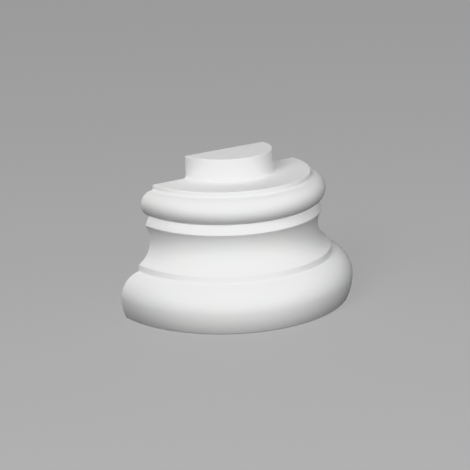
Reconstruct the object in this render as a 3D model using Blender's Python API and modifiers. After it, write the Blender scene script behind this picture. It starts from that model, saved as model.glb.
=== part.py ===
"""A half-column base, one turned moulding cut flat at the back, that carries a half shaft against a wall.

Metres, +Z up. The flat back faces +Y and the round front faces -Y. The origin is on the floor, under
the middle of the base's width and depth. From the floor up the outline has a lower torus, a fillet, a
scotia, a sloped fillet, an upper torus, a fillet, the shoulder that carries the shaft and the spigot
that centres it.
"""

from math import acos, asin, ceil, cos, pi, sin, sqrt

import bpy
from mathutils import Vector

# Radius of the narrowest ring, in the scotia. Every other ring is set out from it.
THROAT_RADIUS = 0.1376

# Scotia: the rounds below and above the throat
SCOTIA_LOWER_ROUND = 0.0373
SCOTIA_UPPER_ROUND = 0.0472

# Lower fillet: how far its top edge stands out from the throat, and its draft and height
LOWER_FILLET_OUT = 0.0202
LOWER_FILLET_DRAFT = 0.0014
LOWER_FILLET_HEIGHT = 0.0100

# Lower torus: how far it stands out from the fillet's foot, the rounds above and below its widest
# line, and that line's height above the floor
LOWER_TORUS_OUT = 0.0308
LOWER_TORUS_UPPER_ROUND = 0.0365
LOWER_TORUS_LOWER_ROUND = 0.0740
LOWER_TORUS_BELLY_HEIGHT = 0.0305

# Sloped fillet above the scotia: how far its foot stands out from the throat, and its run and height
SLOPE_OUT = 0.0065
SLOPE_RUN = 0.0069
SLOPE_HEIGHT = 0.0131

# Ledge on top of the sloped fillet, and the upper torus, whose underside goes back in under its widest
# line and meets the ledge this far out from the torus's centre line
LEDGE_WIDTH = 0.0018
UPPER_TORUS_ROUND = 0.0192
UPPER_TORUS_UNDERCUT = 0.0050

# Upper fillet: how far its foot is set in from the upper torus's centre line, its draft and height
UPPER_FILLET_SET_IN = 0.0013
UPPER_FILLET_DRAFT = 0.0008
UPPER_FILLET_HEIGHT = 0.0081

# Spigot that goes up inside the hollow shaft: its radius at the top, its height, and how much wider it
# is at the foot
SPIGOT_RADIUS = 0.0710
SPIGOT_HEIGHT = 0.0336
SPIGOT_DRAFT = 0.0006

# How far along each side a corner of the outline is eased: a sharp one, the coves at the feet of the
# spigot, the upper fillet and the lower fillet, the shoulder's softer rim, and the crease under the upper
# torus. The last value is the most of a side that this may take.
ARRIS_EASE = 0.0014
SPIGOT_COVE_EASE = 0.0045
UPPER_COVE_EASE = 0.0030
LOWER_COVE_EASE = 0.0020
RIM_EASE = 0.0024
CREASE_EASE = 0.0007
MOST_EASED = 0.4

# Fineness of the facets: the most that a chord of the outline may cut inside its arc, the number of
# facets in a whole turn, and the number of points put in at an eased corner
PROFILE_TOLERANCE = 0.00009
TURN_STEPS = 96
EASE_POINTS = 2

MERGE_DISTANCE = 0.00005
CUTTER_MARGIN = 0.02

NAME = "half_column_base"
WHITE = (0.86, 0.86, 0.85, 1.0)
ROUGHNESS = 0.55

lower_fillet_head_radius = THROAT_RADIUS + LOWER_FILLET_OUT
lower_fillet_foot_radius = lower_fillet_head_radius + LOWER_FILLET_DRAFT
base_radius = lower_fillet_foot_radius + LOWER_TORUS_OUT
slope_foot_radius = THROAT_RADIUS + SLOPE_OUT
slope_head_radius = slope_foot_radius - SLOPE_RUN
ledge_radius = slope_head_radius - LEDGE_WIDTH
upper_torus_radius = ledge_radius - UPPER_TORUS_UNDERCUT
upper_fillet_foot_radius = upper_torus_radius - UPPER_FILLET_SET_IN
upper_fillet_head_radius = upper_fillet_foot_radius - UPPER_FILLET_DRAFT
spigot_foot_radius = SPIGOT_RADIUS + SPIGOT_DRAFT


def clear_scene():
    for obj in list(bpy.data.objects):
        bpy.data.objects.remove(obj)


def rise(radius, out):
    """Height of a point of an arc over the arc's centre, at this distance out from it."""
    return sqrt(radius**2 - out**2)


def line(*points):
    """A run of (radius, height) points."""
    return [Vector(point) for point in points]


def arc(centre, radius, start, end):
    """A run along an arc. Angles are in radians, 0 is outwards and a quarter turn is up."""
    step = 2 * acos(1 - PROFILE_TOLERANCE / radius)
    count = ceil(abs(end - start) / step)
    angles = [start + (end - start) * i / count for i in range(count + 1)]
    return line(*[(centre[0] + radius * cos(a), centre[1] + radius * sin(a)) for a in angles])


def length(run):
    return sum((b - a).length for a, b in zip(run, run[1:]))


def shortened(run, cut):
    """The run without its last stretch of this length."""
    kept = list(run)
    while length(kept[-2:]) <= cut:
        cut -= length(kept[-2:])
        kept.pop()
    before, last = kept[-2:]
    kept[-1] = last.lerp(before, cut / length([before, last]))
    return kept


def bend(start, corner, end):
    """The points between the two ends of a small curve that takes a corner's place."""
    shares = [i / (EASE_POINTS + 1) for i in range(1, EASE_POINTS + 1)]
    return [start.lerp(corner, t).lerp(corner.lerp(end, t), t) for t in shares]


def joined(steps):
    """One outline from (reach, run) steps that meet end to end, with each run's first corner eased."""
    runs = [run for _, run in steps]
    lengths = [length(run) for run in runs]
    cuts = [min(steps[i][0], MOST_EASED * min(lengths[i - 1 : i + 1])) for i in range(1, len(runs))]
    points = []
    for run, first_cut, last_cut in zip(runs, [0] + cuts, cuts + [0]):
        kept = shortened(run[::-1], first_cut)[::-1]
        kept = shortened(kept, last_cut)
        if points:
            points += bend(points[-1], run[0], kept[0])
        points += kept
    return points


def lower_torus():
    """The big roll from the fillet's foot down to the floor: a round above its widest line and one below."""
    above = base_radius - LOWER_TORUS_UPPER_ROUND, LOWER_TORUS_BELLY_HEIGHT
    below = base_radius - LOWER_TORUS_LOWER_ROUND, LOWER_TORUS_BELLY_HEIGHT
    start = acos((lower_fillet_foot_radius - above[0]) / LOWER_TORUS_UPPER_ROUND)
    end = -asin(LOWER_TORUS_BELLY_HEIGHT / LOWER_TORUS_LOWER_ROUND)
    return arc(above, LOWER_TORUS_UPPER_ROUND, start, 0) + arc(below, LOWER_TORUS_LOWER_ROUND, 0, end)[1:]


def scotia(throat_z):
    """The hollow from the sloped fillet's foot down to the lower fillet's top edge."""
    above = THROAT_RADIUS + SCOTIA_UPPER_ROUND, throat_z
    below = THROAT_RADIUS + SCOTIA_LOWER_ROUND, throat_z
    start = pi - acos((above[0] - slope_foot_radius) / SCOTIA_UPPER_ROUND)
    end = pi + acos((below[0] - lower_fillet_head_radius) / SCOTIA_LOWER_ROUND)
    return arc(above, SCOTIA_UPPER_ROUND, start, pi) + arc(below, SCOTIA_LOWER_ROUND, pi, end)[1:]


def upper_torus(centre_z):
    """The roll from the upper fillet's foot round to the ledge."""
    start = acos((upper_fillet_foot_radius - upper_torus_radius) / UPPER_TORUS_ROUND)
    end = -acos(UPPER_TORUS_UNDERCUT / UPPER_TORUS_ROUND)
    return arc((upper_torus_radius, centre_z), UPPER_TORUS_ROUND, start, end)


def outline():
    """The turned outline, from the top of the spigot down its outer side to the floor."""
    lower_fillet_foot = LOWER_TORUS_BELLY_HEIGHT + rise(
        LOWER_TORUS_UPPER_ROUND, LOWER_TORUS_UPPER_ROUND - LOWER_TORUS_OUT
    )
    lower_fillet_head = lower_fillet_foot + LOWER_FILLET_HEIGHT
    throat = lower_fillet_head + rise(SCOTIA_LOWER_ROUND, SCOTIA_LOWER_ROUND - LOWER_FILLET_OUT)
    slope_foot = throat + rise(SCOTIA_UPPER_ROUND, SCOTIA_UPPER_ROUND - SLOPE_OUT)
    slope_head = slope_foot + SLOPE_HEIGHT
    torus_centre = slope_head + rise(UPPER_TORUS_ROUND, UPPER_TORUS_UNDERCUT)
    upper_fillet_foot = torus_centre + rise(UPPER_TORUS_ROUND, UPPER_FILLET_SET_IN)
    shoulder = upper_fillet_foot + UPPER_FILLET_HEIGHT
    top = shoulder + SPIGOT_HEIGHT

    spigot_foot = spigot_foot_radius, shoulder
    shoulder_rim = upper_fillet_head_radius, shoulder
    slope_edge = slope_head_radius, slope_head
    slope_end = slope_foot_radius, slope_foot
    lower_fillet_edge = lower_fillet_head_radius, lower_fillet_head
    lower_fillet_end = lower_fillet_foot_radius, lower_fillet_foot
    roll = upper_torus(torus_centre)
    foot = lower_torus()
    return joined(
        [
            (0, line((0, top), (SPIGOT_RADIUS, top))),
            (ARRIS_EASE, line((SPIGOT_RADIUS, top), spigot_foot)),
            (SPIGOT_COVE_EASE, line(spigot_foot, shoulder_rim)),
            (RIM_EASE, line(shoulder_rim, roll[0])),
            (UPPER_COVE_EASE, roll),
            (CREASE_EASE, line((ledge_radius, slope_head), slope_edge)),
            (ARRIS_EASE, line(slope_edge, slope_end)),
            (ARRIS_EASE, scotia(throat)),
            (ARRIS_EASE, line(lower_fillet_edge, lower_fillet_end)),
            (LOWER_COVE_EASE, foot),
            (ARRIS_EASE, line(foot[-1], (0, 0))),
        ]
    )


def new_collection(name):
    collection = bpy.data.collections.new(name)
    bpy.context.scene.collection.children.link(collection)
    return collection


def primed_white():
    material = bpy.data.materials.new("primed_white")
    material.diffuse_color = WHITE
    material.use_nodes = True
    shader = material.node_tree.nodes["Principled BSDF"]
    shader.inputs["Base Color"].default_value = WHITE
    shader.inputs["Roughness"].default_value = ROUGHNESS
    shader.inputs["Metallic"].default_value = 0.0
    return material


def turned_moulding(points, collection):
    """The outline turned once round. The middles of its facets lie on the true rounds."""
    reach = 1 / cos(pi / TURN_STEPS)
    verts = [(r * reach, 0, z) for r, z in points]
    mesh = bpy.data.meshes.new(NAME)
    mesh.from_pydata(verts, [(i, i + 1) for i in range(len(verts) - 1)], [])
    mesh.materials.append(primed_white())
    turned = bpy.data.objects.new(NAME, mesh)
    turned.location.y = base_radius / 2
    turned.rotation_euler.z = pi / TURN_STEPS
    collection.objects.link(turned)
    screw = turned.modifiers.new("Turn", "SCREW")
    screw.axis = "Z"
    screw.angle = 2 * pi
    screw.steps = TURN_STEPS
    screw.render_steps = TURN_STEPS
    screw.use_merge_vertices = True
    screw.merge_threshold = MERGE_DISTANCE
    screw.use_smooth_shade = True
    return turned


def back_cutter(height, collection):
    """A block over the half of the turned piece that lies behind the column's axis."""
    depth = base_radius + CUTTER_MARGIN
    bpy.ops.mesh.primitive_cube_add(size=1, location=(0, (base_radius + depth) / 2, height / 2))
    cutter = bpy.context.object
    cutter.name = "back_cutter"
    cutter.scale = 2 * depth, depth, height + 2 * CUTTER_MARGIN
    for holder in list(cutter.users_collection):
        holder.objects.unlink(cutter)
    collection.objects.link(cutter)
    cutter.hide_render = True
    cutter.display_type = "WIRE"
    return cutter


def build():
    points = outline()
    moulding = turned_moulding(points, new_collection(NAME))
    cut = moulding.modifiers.new("Flat back", "BOOLEAN")
    cut.operation = "DIFFERENCE"
    cut.solver = "EXACT"
    cut.object = back_cutter(points[0].y, new_collection("cutters"))
    moulding.modifiers.new("Even shading", "WEIGHTED_NORMAL").keep_sharp = True


clear_scene()
build()
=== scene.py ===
"""The looks of the half-column base: its fine surface and primed finish, on a plain floor in soft light."""

from math import acos, asin, ceil, cos, pi, radians, sin, sqrt

import bmesh
import bpy
from mathutils import Euler, Matrix, Vector


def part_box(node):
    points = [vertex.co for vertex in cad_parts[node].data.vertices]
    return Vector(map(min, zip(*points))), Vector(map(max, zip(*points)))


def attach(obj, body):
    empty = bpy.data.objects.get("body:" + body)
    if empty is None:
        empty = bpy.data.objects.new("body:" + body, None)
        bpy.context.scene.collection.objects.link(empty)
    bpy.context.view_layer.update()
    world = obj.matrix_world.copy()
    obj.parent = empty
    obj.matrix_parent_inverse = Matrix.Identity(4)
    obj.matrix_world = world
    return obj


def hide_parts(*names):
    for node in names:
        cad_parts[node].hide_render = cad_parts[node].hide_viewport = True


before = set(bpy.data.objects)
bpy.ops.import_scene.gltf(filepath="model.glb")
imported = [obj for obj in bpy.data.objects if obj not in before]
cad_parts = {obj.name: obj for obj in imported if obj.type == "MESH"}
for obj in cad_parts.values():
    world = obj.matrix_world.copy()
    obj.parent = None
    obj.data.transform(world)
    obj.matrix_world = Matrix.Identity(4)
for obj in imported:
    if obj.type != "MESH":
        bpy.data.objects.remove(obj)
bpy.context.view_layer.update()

NODE = "half_column_base"

# The outline's driving sizes, in metres, as in the part's source: the throat of the scotia, from which
# every other ring is set out, then each moulding from the scotia down, and from the scotia up
THROAT_RADIUS = 0.1376
SCOTIA_LOWER_ROUND = 0.0373
LOWER_FILLET_OUT = 0.0202
LOWER_FILLET_DRAFT = 0.0014
LOWER_FILLET_HEIGHT = 0.0100
LOWER_TORUS_OUT = 0.0308
LOWER_TORUS_UPPER_ROUND = 0.0365
LOWER_TORUS_LOWER_ROUND = 0.0740
LOWER_TORUS_BELLY_HEIGHT = 0.0305
SCOTIA_UPPER_ROUND = 0.0472
SLOPE_OUT = 0.0065
SLOPE_RUN = 0.0069
SLOPE_HEIGHT = 0.0131
LEDGE_WIDTH = 0.0018
UPPER_TORUS_ROUND = 0.0192
UPPER_TORUS_UNDERCUT = 0.0050
UPPER_FILLET_SET_IN = 0.0013
UPPER_FILLET_DRAFT = 0.0008
UPPER_FILLET_HEIGHT = 0.0081
SPIGOT_RADIUS = 0.0710
SPIGOT_HEIGHT = 0.0336
SPIGOT_DRAFT = 0.0006

# How far along each side a corner of the outline is eased, and the most of a side that this may take
ARRIS_EASE = 0.0014
SPIGOT_COVE_EASE = 0.0045
UPPER_COVE_EASE = 0.0030
LOWER_COVE_EASE = 0.0020
RIM_EASE = 0.0024
CREASE_EASE = 0.0007
MOST_EASED = 0.4

# The round along the edges of the flat back, and the fineness of the surface
BACK_ARRIS = 0.0008
BACK_ARRIS_STEPS = 4
PROFILE_TOLERANCE = 0.000012
EASE_POINTS = 5
TURN_STEPS = 144
MERGE_DISTANCE = 0.0000005

# The photograph's view: the camera's direction and roll in degrees, its distance from the point that it
# looks at, and how far that point is to the right of and above the middle of the underside's back edge
VIEW_AZIMUTH = -34.488
VIEW_ELEVATION = 16.875
VIEW_ROLL = -1.549
VIEW_DISTANCE = 2.0517
AIM_RIGHT = 0.01172
AIM_UP = 0.08678
PICTURE_PIXELS = 470
FOCAL_PIXELS = 1329.53
SENSOR_WIDTH = 36.0

WHITE = (1, 1, 1, 1)

# Noise: its fractal roughness, and the ranges of its values that clouds and patches stretch over
NOISE_ROUGHNESS = 0.5
CLOUD_RANGE = (0.35, 0.65)
PATCH_RANGE = (0.3, 0.7)

# Primer: colours, how the shader answers light, and the sizes and details of its clouds, roughness patches,
# ripples, orange peel and pinholes
PRIMER_WARM = (0.862, 0.859, 0.855, 1)
PRIMER_COOL = (0.850, 0.853, 0.857, 1)
PRIMER_SPECULAR = 0.35
PRIMER_ROUGHNESS = (0.54, 0.66)
CLOUD_SIZE = 0.09
CLOUD_DETAIL = 3
PATCH_SIZE = 0.03
PATCH_DETAIL = 2
RIPPLE_SIZE = 0.022
RIPPLE_DETAIL = 1
RIPPLE_DEPTH = 0.00012
PEEL_SIZE = 0.0016
PEEL_DETAIL = 2
PEEL_DEPTH = 0.00003
PINHOLE_SPACING = 0.009
PINHOLE_RADIUS = 0.00035
PINHOLE_SHARE = 0.12
PINHOLE_GREY = (0.60, 0.60, 0.58, 1)

# Trimmed foam on the flat back and the underside: colours, roughness, saw marks, grain and pores. A face
# belongs to them where its normal points this much backwards or downwards.
FOAM_CREAM = (0.80, 0.78, 0.72, 1)
FOAM_WHITE = (0.84, 0.83, 0.80, 1)
FOAM_ROUGHNESS = (0.72, 0.86)
FOAM_CLOUD_DETAIL = 4
SAW_MARK_SIZE = 0.004
SAW_MARK_DETAIL = 2
SAW_MARK_STRETCH = (0.04, 1, 1)
SAW_MARK_DEPTH = 0.0001
FOAM_GRAIN_DETAIL = 3
PORE_SPACING = 0.005
PORE_RADIUS = 0.0006
PORE_SHARE = 0.35
PORE_GREY = (0.55, 0.53, 0.48, 1)
TRIMMED_FACING = 0.99
TRIMMED_SLOT = 1

# Floor and background: the floor's two greys, its own glow and its clouds, and the background's glow
FLOOR_SIZE = 40.0
FLOOR_LIGHT = (0.12, 0.12, 0.12, 1)
FLOOR_DARK = (0.1182, 0.1182, 0.1182, 1)
FLOOR_GLOW = 0.36
FLOOR_SPECULAR = 0.2
FLOOR_ROUGHNESS = 0.9
FLOOR_CLOUD_SIZE = 0.4
FLOOR_CLOUD_DETAIL = 2
BACKGROUND_GLOW = 0.36

# Softboxes: azimuth and elevation in degrees, side in metres and power in watts, all at one distance from
# the base's middle. Their places and powers follow the tones in the photograph.
SOFTBOX_DISTANCE = 2.6
SOFTBOXES = {
    "key": (-64.5, 40, 1.1, 23.2),
    "key low": (-64.5, 24, 1.1, 17.4),
    "main": (-4.5, 45, 0.5, 27.7),
    "main low": (-4.5, 10, 1.1, 10.5),
    "main wide": (5.5, 40, 2.4, 11.1),
    "back": (180, 5, 1.1, 42.0),
    "back left": (-154.5, 10, 1.1, 6.0),
    "back right": (150, 8, 1.1, 8.0),
}
# These cast no shadow, because the photograph shows hardly any under the mouldings
SHADOWLESS = {"main", "main low", "back left"}
# These light the base alone, so that they draw no bright line on the floor
BASE_ONLY = {"main low", "back", "back left", "back right"}

lower_fillet_head_radius = THROAT_RADIUS + LOWER_FILLET_OUT
lower_fillet_foot_radius = lower_fillet_head_radius + LOWER_FILLET_DRAFT
base_radius = lower_fillet_foot_radius + LOWER_TORUS_OUT
slope_foot_radius = THROAT_RADIUS + SLOPE_OUT
slope_head_radius = slope_foot_radius - SLOPE_RUN
ledge_radius = slope_head_radius - LEDGE_WIDTH
upper_torus_radius = ledge_radius - UPPER_TORUS_UNDERCUT
upper_fillet_foot_radius = upper_torus_radius - UPPER_FILLET_SET_IN
upper_fillet_head_radius = upper_fillet_foot_radius - UPPER_FILLET_DRAFT
spigot_foot_radius = SPIGOT_RADIUS + SPIGOT_DRAFT


def rise(radius, out):
    """Height of a point of an arc over the arc's centre, at this distance out from it."""
    return sqrt(radius**2 - out**2)


def line(*points):
    """A run of (radius, height) points."""
    return [Vector(point) for point in points]


def arc(centre, radius, start, end):
    """A run along an arc. Angles are in radians, 0 is outwards and a quarter turn is up."""
    step = 2 * acos(1 - PROFILE_TOLERANCE / radius)
    count = ceil(abs(end - start) / step)
    angles = [start + (end - start) * i / count for i in range(count + 1)]
    return line(*[(centre[0] + radius * cos(a), centre[1] + radius * sin(a)) for a in angles])


def length(run):
    return sum((b - a).length for a, b in zip(run, run[1:]))


def shortened(run, cut):
    """The run without its last stretch of this length."""
    kept = list(run)
    while length(kept[-2:]) <= cut:
        cut -= length(kept[-2:])
        kept.pop()
    before, last = kept[-2:]
    kept[-1] = last.lerp(before, cut / length([before, last]))
    return kept


def bend(start, corner, end):
    """The points between the two ends of a small curve that takes a corner's place."""
    shares = [i / (EASE_POINTS + 1) for i in range(1, EASE_POINTS + 1)]
    return [start.lerp(corner, t).lerp(corner.lerp(end, t), t) for t in shares]


def joined(steps):
    """One outline from (reach, run) steps that meet end to end, with each run's first corner eased."""
    runs = [run for _, run in steps]
    lengths = [length(run) for run in runs]
    cuts = [min(steps[i][0], MOST_EASED * min(lengths[i - 1 : i + 1])) for i in range(1, len(runs))]
    points = []
    for run, first_cut, last_cut in zip(runs, [0] + cuts, cuts + [0]):
        kept = shortened(run[::-1], first_cut)[::-1]
        kept = shortened(kept, last_cut)
        if points:
            points += bend(points[-1], run[0], kept[0])
        points += kept
    return points


def lower_torus():
    """The big roll from the fillet's foot down to the floor: a round above its widest line and one below."""
    above = base_radius - LOWER_TORUS_UPPER_ROUND, LOWER_TORUS_BELLY_HEIGHT
    below = base_radius - LOWER_TORUS_LOWER_ROUND, LOWER_TORUS_BELLY_HEIGHT
    start = acos((lower_fillet_foot_radius - above[0]) / LOWER_TORUS_UPPER_ROUND)
    end = -asin(LOWER_TORUS_BELLY_HEIGHT / LOWER_TORUS_LOWER_ROUND)
    return arc(above, LOWER_TORUS_UPPER_ROUND, start, 0) + arc(below, LOWER_TORUS_LOWER_ROUND, 0, end)[1:]


def scotia(throat_z):
    """The hollow from the sloped fillet's foot down to the lower fillet's top edge."""
    above = THROAT_RADIUS + SCOTIA_UPPER_ROUND, throat_z
    below = THROAT_RADIUS + SCOTIA_LOWER_ROUND, throat_z
    start = pi - acos((above[0] - slope_foot_radius) / SCOTIA_UPPER_ROUND)
    end = pi + acos((below[0] - lower_fillet_head_radius) / SCOTIA_LOWER_ROUND)
    return arc(above, SCOTIA_UPPER_ROUND, start, pi) + arc(below, SCOTIA_LOWER_ROUND, pi, end)[1:]


def upper_torus(centre_z):
    """The roll from the upper fillet's foot round to the ledge."""
    start = acos((upper_fillet_foot_radius - upper_torus_radius) / UPPER_TORUS_ROUND)
    end = -acos(UPPER_TORUS_UNDERCUT / UPPER_TORUS_ROUND)
    return arc((upper_torus_radius, centre_z), UPPER_TORUS_ROUND, start, end)


def outline():
    """The turned outline, from the top of the spigot down its outer side to the floor."""
    lower_fillet_foot = LOWER_TORUS_BELLY_HEIGHT + rise(
        LOWER_TORUS_UPPER_ROUND, LOWER_TORUS_UPPER_ROUND - LOWER_TORUS_OUT
    )
    lower_fillet_head = lower_fillet_foot + LOWER_FILLET_HEIGHT
    throat = lower_fillet_head + rise(SCOTIA_LOWER_ROUND, SCOTIA_LOWER_ROUND - LOWER_FILLET_OUT)
    slope_foot = throat + rise(SCOTIA_UPPER_ROUND, SCOTIA_UPPER_ROUND - SLOPE_OUT)
    slope_head = slope_foot + SLOPE_HEIGHT
    torus_centre = slope_head + rise(UPPER_TORUS_ROUND, UPPER_TORUS_UNDERCUT)
    upper_fillet_foot = torus_centre + rise(UPPER_TORUS_ROUND, UPPER_FILLET_SET_IN)
    shoulder = upper_fillet_foot + UPPER_FILLET_HEIGHT
    top = shoulder + SPIGOT_HEIGHT

    spigot_foot = spigot_foot_radius, shoulder
    shoulder_rim = upper_fillet_head_radius, shoulder
    slope_edge = slope_head_radius, slope_head
    slope_end = slope_foot_radius, slope_foot
    lower_fillet_edge = lower_fillet_head_radius, lower_fillet_head
    lower_fillet_end = lower_fillet_foot_radius, lower_fillet_foot
    roll = upper_torus(torus_centre)
    foot = lower_torus()
    return joined(
        [
            (0, line((0, top), (SPIGOT_RADIUS, top))),
            (ARRIS_EASE, line((SPIGOT_RADIUS, top), spigot_foot)),
            (SPIGOT_COVE_EASE, line(spigot_foot, shoulder_rim)),
            (RIM_EASE, line(shoulder_rim, roll[0])),
            (UPPER_COVE_EASE, roll),
            (CREASE_EASE, line((ledge_radius, slope_head), slope_edge)),
            (ARRIS_EASE, line(slope_edge, slope_end)),
            (ARRIS_EASE, scotia(throat)),
            (ARRIS_EASE, line(lower_fillet_edge, lower_fillet_end)),
            (LOWER_COVE_EASE, foot),
            (ARRIS_EASE, line(foot[-1], (0, 0))),
        ]
    )


def inset(points, distance):
    """The outline drawn this far inside itself, with its two ends still on the axis."""
    moved = []
    for i, point in enumerate(points):
        before = points[max(i - 1, 0)]
        after = points[min(i + 1, len(points) - 1)]
        into = (point - before).normalized() if i else Vector((1, 0))
        out_of = (after - point).normalized() if point != after else Vector((-1, 0))
        along = (into + out_of).normalized()
        moved.append(point + Vector((along.y, -along.x)) * distance)
    return moved


def arris_ring(points, angle, side):
    """A ring of the rounded back edge: angle is 0 where the round starts and a quarter turn on the back."""
    run = inset(points, BACK_ARRIS * (1 - cos(angle)))
    depth = BACK_ARRIS * (1 - sin(angle))
    return [(side * r, -depth, z) for r, z in run]


def turned_ring(points, share):
    """A ring of the turned front. The share goes from -1 at one back edge to 1 at the other."""
    ring = []
    for r, z in points:
        reach = acos(BACK_ARRIS / r) if r > BACK_ARRIS else 0
        ring.append((r * sin(share * reach), -max(r * cos(share * reach), BACK_ARRIS), z))
    return ring


def moulding(points):
    """The half-turned moulding as one closed mesh, with its back in the plane y = 0."""
    quarters = [pi / 2 * i / BACK_ARRIS_STEPS for i in range(BACK_ARRIS_STEPS, 0, -1)]
    shares = [2 * i / TURN_STEPS - 1 for i in range(TURN_STEPS + 1)]
    rings = [arris_ring(points, angle, -1) for angle in quarters]
    rings += [turned_ring(points, share) for share in shares]
    rings += [arris_ring(points, angle, 1) for angle in reversed(quarters)]

    shape = bmesh.new()
    verts = [[shape.verts.new(place) for place in ring] for ring in rings]
    for ring, following in zip(verts, verts[1:]):
        for i in range(len(points) - 1):
            shape.faces.new((ring[i], ring[i + 1], following[i + 1], following[i]))
    bmesh.ops.remove_doubles(shape, verts=shape.verts, dist=MERGE_DISTANCE)
    edges = [edge for edge in shape.edges if edge.is_boundary]
    bmesh.ops.holes_fill(shape, edges=edges)
    bmesh.ops.recalc_face_normals(shape, faces=shape.faces)
    for face in shape.faces:
        face.smooth = True
    mesh = bpy.data.meshes.new("moulded_base")
    shape.to_mesh(mesh)
    shape.free()
    return mesh


# Where a Mix node keeps its colour sockets, which share their names with its other sockets
MIX_FIRST_COLOUR = 6
MIX_SECOND_COLOUR = 7
MIX_COLOUR_OUT = 2


class Nodes:
    """A small helper that adds shader nodes to one material and links them."""

    def __init__(self, name, specular):
        self.material = bpy.data.materials.new(name)
        self.material.use_nodes = True
        self.tree = self.material.node_tree
        self.shader = self.tree.nodes["Principled BSDF"]
        self.shader.inputs["Specular IOR Level"].default_value = specular
        self.place = self.tree.nodes.new("ShaderNodeTexCoord").outputs["Object"]

    def add(self, kind, settings=(), **inputs):
        """A node of this kind. An input is a value, or an output to link."""
        node = self.tree.nodes.new("ShaderNode" + kind)
        for name, value in dict(settings).items():
            setattr(node, name, value)
        for name, value in inputs.items():
            self.set(node.inputs[name.replace("_", " ")], value)
        return node

    def set(self, socket, value):
        if isinstance(value, bpy.types.NodeSocket):
            self.tree.links.new(value, socket)
        else:
            socket.default_value = value

    def noise(self, size, detail, place=None):
        """Cloudy noise from 0 to 1 whose blobs are about this many metres across."""
        fineness = {"Scale": 1 / size, "Detail": detail, "Roughness": NOISE_ROUGHNESS}
        return self.add("TexNoise", Vector=place or self.place, **fineness).outputs["Fac"]

    def spread(self, value, low, high, least=0.0, most=1.0):
        """The value carried from the range low to high over to the range least to most, and clipped there."""
        settings = {"From_Min": low, "From_Max": high, "To_Min": least, "To_Max": most}
        return self.add("MapRange", Value=value, **settings).outputs["Result"]

    def pits(self, spacing, radius, share):
        """1 in the middle of small round pits and 0 elsewhere. The share says how many cells have a pit."""
        cells = self.add("TexVoronoi", Vector=self.place, Scale=1 / spacing)
        depth = self.spread(cells.outputs["Distance"], radius / spacing, 0)
        chance = self.add("SeparateColor", Color=cells.outputs["Color"]).outputs["Red"]
        chosen = self.add("Math", {"operation": "LESS_THAN"}, Value=chance)
        chosen.inputs[1].default_value = share
        return self.times(depth, chosen.outputs["Value"])

    def blend(self, share, first, second):
        """The first colour where the share is 0, and the second where it is 1."""
        mix = self.add("Mix", {"data_type": "RGBA"})
        self.set(mix.inputs["Factor"], share)
        self.set(mix.inputs[MIX_FIRST_COLOUR], first)
        self.set(mix.inputs[MIX_SECOND_COLOUR], second)
        return mix.outputs[MIX_COLOUR_OUT]

    def times(self, value, factor):
        """The value times the factor, which is a number or an output."""
        product = self.add("Math", {"operation": "MULTIPLY"}, Value=value)
        self.set(product.inputs[1], factor)
        return product.outputs["Value"]

    def bump(self, height, depth, under=None):
        """A bump of this depth in metres, on top of the normal of another bump."""
        node = self.add("Bump", Height=height, Distance=depth)
        if under:
            self.set(node.inputs["Normal"], under)
        return node.outputs["Normal"]


def primed_white():
    """Sprayed primer on a moulded skin: faint clouds, an orange-peel grain and a few pinholes."""
    made = Nodes("primed_white", PRIMER_SPECULAR)
    clouds = made.spread(made.noise(CLOUD_SIZE, CLOUD_DETAIL), *CLOUD_RANGE)
    pinholes = made.pits(PINHOLE_SPACING, PINHOLE_RADIUS, PINHOLE_SHARE)
    white = made.blend(clouds, PRIMER_WARM, PRIMER_COOL)
    made.set(made.shader.inputs["Base Color"], made.blend(pinholes, white, PINHOLE_GREY))
    patches = made.spread(made.noise(PATCH_SIZE, PATCH_DETAIL), *PATCH_RANGE, *PRIMER_ROUGHNESS)
    made.set(made.shader.inputs["Roughness"], patches)
    ripple = made.bump(made.noise(RIPPLE_SIZE, RIPPLE_DETAIL), RIPPLE_DEPTH)
    peel = made.bump(made.noise(PEEL_SIZE, PEEL_DETAIL), PEEL_DEPTH, ripple)
    pitted = made.bump(made.times(pinholes, -1), PINHOLE_RADIUS, peel)
    made.set(made.shader.inputs["Normal"], pitted)
    return made.material


def trimmed_back():
    """The flat back and the underside: thin primer over foam trimmed with a saw, with its marks and pores."""
    made = Nodes("trimmed_back", PRIMER_SPECULAR)
    clouds = made.spread(made.noise(CLOUD_SIZE, FOAM_CLOUD_DETAIL), *CLOUD_RANGE)
    pores = made.pits(PORE_SPACING, PORE_RADIUS, PORE_SHARE)
    cream = made.blend(clouds, FOAM_CREAM, FOAM_WHITE)
    made.set(made.shader.inputs["Base Color"], made.blend(pores, cream, PORE_GREY))
    patches = made.spread(made.noise(PATCH_SIZE, PATCH_DETAIL), *PATCH_RANGE, *FOAM_ROUGHNESS)
    made.set(made.shader.inputs["Roughness"], patches)
    stretched = made.add("Mapping", Vector=made.place, Scale=SAW_MARK_STRETCH).outputs["Vector"]
    marks = made.bump(made.noise(SAW_MARK_SIZE, SAW_MARK_DETAIL, stretched), SAW_MARK_DEPTH)
    grain = made.bump(made.noise(PEEL_SIZE, FOAM_GRAIN_DETAIL), PEEL_DEPTH, marks)
    pitted = made.bump(made.times(pores, -1), PORE_RADIUS, grain)
    made.set(made.shader.inputs["Normal"], pitted)
    return made.material


def pale_floor():
    """Pale matt studio paper with the faintest cloud in it. Its glow keeps it even far from the lights."""
    made = Nodes("pale_floor", FLOOR_SPECULAR)
    clouds = made.spread(made.noise(FLOOR_CLOUD_SIZE, FLOOR_CLOUD_DETAIL), *PATCH_RANGE)
    made.set(made.shader.inputs["Base Color"], made.blend(clouds, FLOOR_LIGHT, FLOOR_DARK))
    made.shader.inputs["Roughness"].default_value = FLOOR_ROUGHNESS
    made.shader.inputs["Emission Color"].default_value = WHITE
    made.shader.inputs["Emission Strength"].default_value = FLOOR_GLOW
    return made.material


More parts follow.
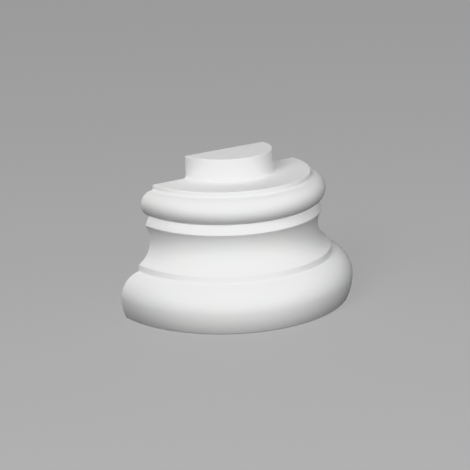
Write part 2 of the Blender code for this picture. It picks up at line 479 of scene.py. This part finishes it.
def direction(azimuth, elevation):
    """The way from the object towards a camera or a light. Azimuth 0 is in front, towards -Y."""
    a, e = radians(azimuth), radians(elevation)
    return Vector((sin(a) * cos(e), -cos(a) * cos(e), sin(e)))


def look_from(back, roll=0):
    """The rotation of a camera or light that looks against this direction."""
    return back.to_track_quat("Z", "Y") @ Euler((0, 0, radians(roll))).to_quaternion()


def add_camera():
    back = direction(VIEW_AZIMUTH, VIEW_ELEVATION)
    level = look_from(back)
    right = level @ Vector((1, 0, 0))
    up = level @ Vector((0, 1, 0))
    aim = Vector((0, back_plane, floor_height)) + right * AIM_RIGHT + up * AIM_UP
    data = bpy.data.cameras.new("camera")
    data.sensor_fit = "HORIZONTAL"
    data.sensor_width = SENSOR_WIDTH
    data.lens = FOCAL_PIXELS / PICTURE_PIXELS * SENSOR_WIDTH
    camera = bpy.data.objects.new("camera", data)
    camera.location = aim + back * VIEW_DISTANCE
    camera.rotation_mode = "QUATERNION"
    camera.rotation_quaternion = look_from(back, VIEW_ROLL)
    bpy.context.scene.collection.objects.link(camera)
    bpy.context.scene.camera = camera


def add_softbox(name, base_alone, azimuth, elevation, side, watts):
    """A square soft light. The collection is what it lights where it is one that lights the base alone."""
    data = bpy.data.lights.new(name, "AREA")
    data.shape = "SQUARE"
    data.size = side
    data.energy = watts
    data.use_shadow = name not in SHADOWLESS
    light = bpy.data.objects.new(name, data)
    back = direction(azimuth, elevation)
    light.location = middle + back * SOFTBOX_DISTANCE
    light.rotation_mode = "QUATERNION"
    light.rotation_quaternion = look_from(back)
    light.visible_camera = False
    if name in BASE_ONLY:
        light.light_linking.receiver_collection = base_alone
    bpy.context.scene.collection.objects.link(light)


def add_world():
    """A pale background that meets the floor at the horizon and lights nothing."""
    world = bpy.data.worlds.new("studio")
    world.use_nodes = True
    background = world.node_tree.nodes["Background"]
    background.inputs["Color"].default_value = WHITE
    background.inputs["Strength"].default_value = BACKGROUND_GLOW
    world.cycles_visibility.diffuse = False
    world.cycles_visibility.glossy = False
    bpy.context.scene.world = world


low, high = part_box(NODE)
floor_height = low.z
back_plane = high.y
middle = (low + high) / 2

add_camera()

base = bpy.data.objects.new("moulded_base", moulding(outline()))
base.data.transform(Matrix.Translation((0, back_plane, floor_height)))
base.data.materials.append(primed_white())
base.data.materials.append(trimmed_back())
for face in base.data.polygons:
    if face.normal.y > TRIMMED_FACING or face.normal.z < -TRIMMED_FACING:
        face.material_index = TRIMMED_SLOT
bpy.context.scene.collection.objects.link(base)
base.modifiers.new("Even shading", "WEIGHTED_NORMAL").keep_sharp = True
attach(base, "root")
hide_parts(NODE)

bpy.ops.mesh.primitive_plane_add(size=FLOOR_SIZE, location=(0, 0, floor_height))
floor = bpy.context.object
floor.name = "floor"
floor.data.materials.append(pale_floor())
# The low softboxes stand for the light off a studio floor, so this one throws none on the base
floor.visible_diffuse = False
floor.visible_glossy = False

add_world()
base_alone = bpy.data.collections.new("base_alone")
base_alone.objects.link(base)
for name, settings in SOFTBOXES.items():
    add_softbox(name, base_alone, *settings)
bpy.context.scene.view_settings.view_transform = "Khronos PBR Neutral"
